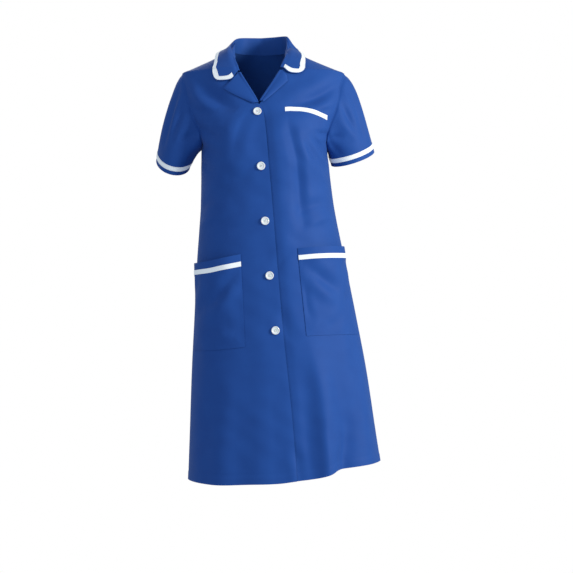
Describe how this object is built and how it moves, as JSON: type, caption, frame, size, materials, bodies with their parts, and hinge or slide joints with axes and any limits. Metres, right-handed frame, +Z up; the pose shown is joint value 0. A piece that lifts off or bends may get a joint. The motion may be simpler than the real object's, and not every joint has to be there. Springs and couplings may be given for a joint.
{
  "type": "nurse uniform dress",
  "caption": "Royal blue button-through nurse dress, knee length, worn shape: revere collar, short sleeves, white braid, breast welt and patch pockets.",
  "frame": {"origin": "midway between the two side-neck points, where the dress is borne on the wearer's shoulders", "axes": "+Z up, -Y the wearer's front, +X the wearer's left"},
  "size_m": [0.5276, 0.3182, 1.0455],
  "materials": {
    "blue_cloth": "royal blue polyester-cotton twill, soft sheen",
    "white_braid": "white woven polyester-cotton braid and welt, matt",
    "button": "white cast polyester four-hole button, polished"
  },
  "bodies": {
    "root": {"front_right": "blue_cloth", "front_left": "blue_cloth", "back": "blue_cloth", "sleeve_right": "blue_cloth", "sleeve_braid_right": "white_braid", "sleeve_left": "blue_cloth", "sleeve_braid_left": "white_braid", "collar": "blue_cloth", "collar_braid": "white_braid", "revere_right": "blue_cloth", "revere_left": "blue_cloth", "breast_welt": "white_braid", "pocket_right": "blue_cloth", "pocket_braid_right": "white_braid", "pocket_left": "blue_cloth", "pocket_braid_left": "white_braid", "button_1": "button", "button_2": "button", "button_3": "button", "button_4": "button", "button_5": "button"}
  },
  "joints": []
}
